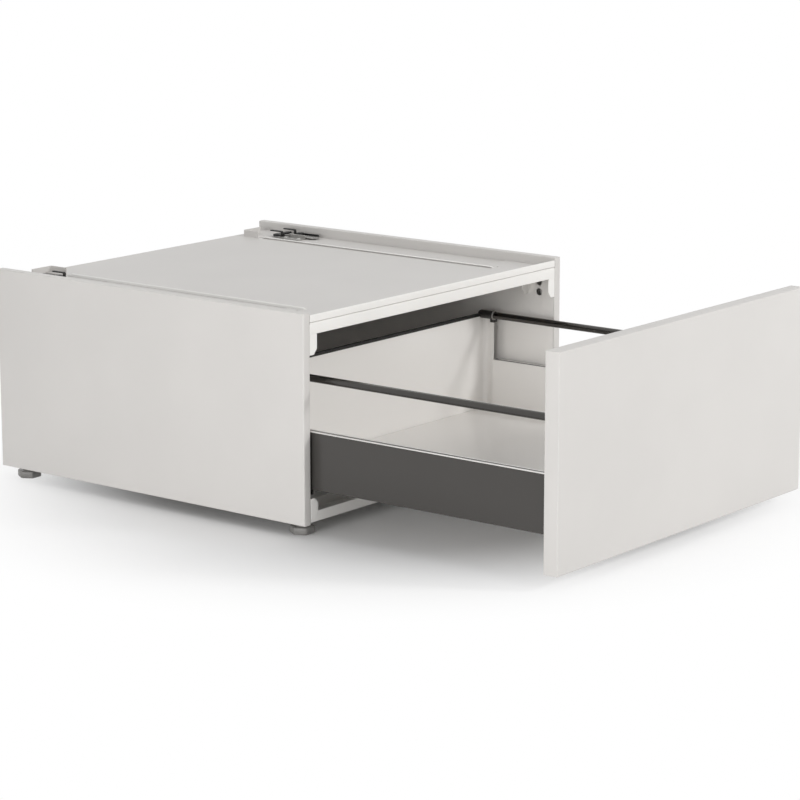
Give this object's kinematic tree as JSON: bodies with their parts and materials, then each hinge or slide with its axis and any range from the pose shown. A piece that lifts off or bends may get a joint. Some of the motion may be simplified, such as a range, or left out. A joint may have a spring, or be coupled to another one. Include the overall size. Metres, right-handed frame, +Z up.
{
  "type": "washer pedestal drawer",
  "caption": "Low sheet-steel pedestal that carries a laundry machine on a recessed deck, with a wide pull-out drawer on concealed roller runners and adjustable feet.",
  "frame": {"origin": "on the floor, at the middle of the footprint's box with the drawer pulled out", "axes": "+Z up, -Y the way the drawer pulls out, +X to the right seen from the front"},
  "size_m": [0.597, 1.004, 0.3126],
  "materials": {
    "white_paint": "satin white powder coat",
    "rail_paint": "satin white powder coat",
    "lining_paint": "satin pale grey enamel",
    "dark_paint": "satin anthracite, slightly metallic",
    "zinc_steel": "bright zinc plate",
    "black_steel": "semi-gloss black",
    "tube_chrome": "dark polished chrome",
    "black_plastic": "fine satin",
    "roller_plastic": "smooth nylon",
    "foot_plastic": "satin grey",
    "buffer_rubber": "matt"
  },
  "bodies": {
    "casing": {"side_panel_left": "white_paint", "side_panel_right": "white_paint", "side_lining_left": "lining_paint", "side_lining_right": "lining_paint", "side_braces": "zinc_steel", "deck_panel": "white_paint", "rear_stops": "white_paint", "front_rail": "rail_paint", "rear_rail": "rail_paint", "base_front_rail": "rail_paint", "base_rear_rail": "rail_paint", "corner_brackets": "rail_paint", "back_panel": "lining_paint", "foot_nuts": "zinc_steel", "clamp_plate_left": "zinc_steel", "clamp_plate_right": "zinc_steel", "clamp_rivets": "zinc_steel", "runner_cabinet_left": "zinc_steel", "runner_cabinet_right": "zinc_steel", "runner_screws": "zinc_steel"},
    "drawer": {"drawer_front_shell": "white_paint", "drawer_front_lining": "lining_paint", "drawer_front_stiffeners": "zinc_steel", "front_buffers": "buffer_rubber", "front_bracket_left": "zinc_steel", "front_bracket_right": "zinc_steel", "front_screws": "zinc_steel", "drawer_side_left": "dark_paint", "drawer_side_right": "dark_paint", "drawer_side_lining_left": "lining_paint", "drawer_side_lining_right": "lining_paint", "drawer_floor": "lining_paint", "drawer_back": "lining_paint", "back_clips": "black_plastic", "gallery_tube_left": "tube_chrome", "gallery_tube_right": "tube_chrome", "tube_socket_left": "black_plastic", "tube_socket_right": "black_plastic", "tube_connector_left": "black_plastic", "tube_connector_right": "black_plastic", "rear_bar": "black_steel", "runner_drawer_left": "zinc_steel", "runner_drawer_right": "zinc_steel"},
    "carriage_left": {"runner_carriage_left": "black_plastic", "runner_rollers_left": "roller_plastic"},
    "carriage_right": {"runner_carriage_right": "black_plastic", "runner_rollers_right": "roller_plastic"},
    "foot_front_left": {"foot_front_left": "foot_plastic"},
    "foot_front_right": {"foot_front_right": "foot_plastic"},
    "foot_rear_left": {"foot_rear_left": "foot_plastic"},
    "foot_rear_right": {"foot_rear_right": "foot_plastic"},
    "clamp_jaw_left": {"clamp_jaw_left": "black_steel"},
    "clamp_screw_left": {"clamp_screw_left": "black_steel"},
    "clamp_jaw_right": {"clamp_jaw_right": "black_steel"},
    "clamp_screw_right": {"clamp_screw_right": "black_steel"}
  },
  "joints": [
    {"name": "drawer_slide", "type": "slide", "parent": "casing", "child": "drawer", "axis": [0, 1, 0], "range_m": [0, 0.396]},
    {"name": "carriage_left_slide", "type": "slide", "parent": "casing", "child": "carriage_left", "axis": [0, 1, 0], "range_m": [0, 0.198]},
    {"name": "carriage_right_slide", "type": "slide", "parent": "casing", "child": "carriage_right", "axis": [0, 1, 0], "range_m": [0, 0.198]},
    {"name": "foot_front_left_turn", "type": "hinge", "parent": "casing", "child": "foot_front_left", "pos_m": [-0.2705, -0.054, 0], "axis": [0, 0, 1], "continuous": true},
    {"name": "foot_front_right_turn", "type": "hinge", "parent": "casing", "child": "foot_front_right", "pos_m": [0.2705, -0.054, 0], "axis": [0, 0, 1], "continuous": true},
    {"name": "foot_rear_left_turn", "type": "hinge", "parent": "casing", "child": "foot_rear_left", "pos_m": [-0.2705, 0.474, 0], "axis": [0, 0, 1], "continuous": true},
    {"name": "foot_rear_right_turn", "type": "hinge", "parent": "casing", "child": "foot_rear_right", "pos_m": [0.2705, 0.474, 0], "axis": [0, 0, 1], "continuous": true},
    {"name": "clamp_jaw_left_slide", "type": "slide", "parent": "casing", "child": "clamp_jaw_left", "axis": [0, 1, 0], "range_m": [-0.008, 0.008]},
    {"name": "clamp_screw_left_turn", "type": "hinge", "parent": "casing", "child": "clamp_screw_left", "pos_m": [-0.2645, 0.398, 0.298], "axis": [0, 0, 1], "continuous": true},
    {"name": "clamp_jaw_right_slide", "type": "slide", "parent": "casing", "child": "clamp_jaw_right", "axis": [0, 1, 0], "range_m": [-0.008, 0.008]},
    {"name": "clamp_screw_right_turn", "type": "hinge", "parent": "casing", "child": "clamp_screw_right", "pos_m": [0.2645, 0.398, 0.298], "axis": [0, 0, 1], "continuous": true}
  ],
  "couplings": [
    {"joint": "carriage_left_slide", "follows": "drawer_slide", "ratio": 0.5},
    {"joint": "carriage_right_slide", "follows": "drawer_slide", "ratio": 0.5}
  ]
}
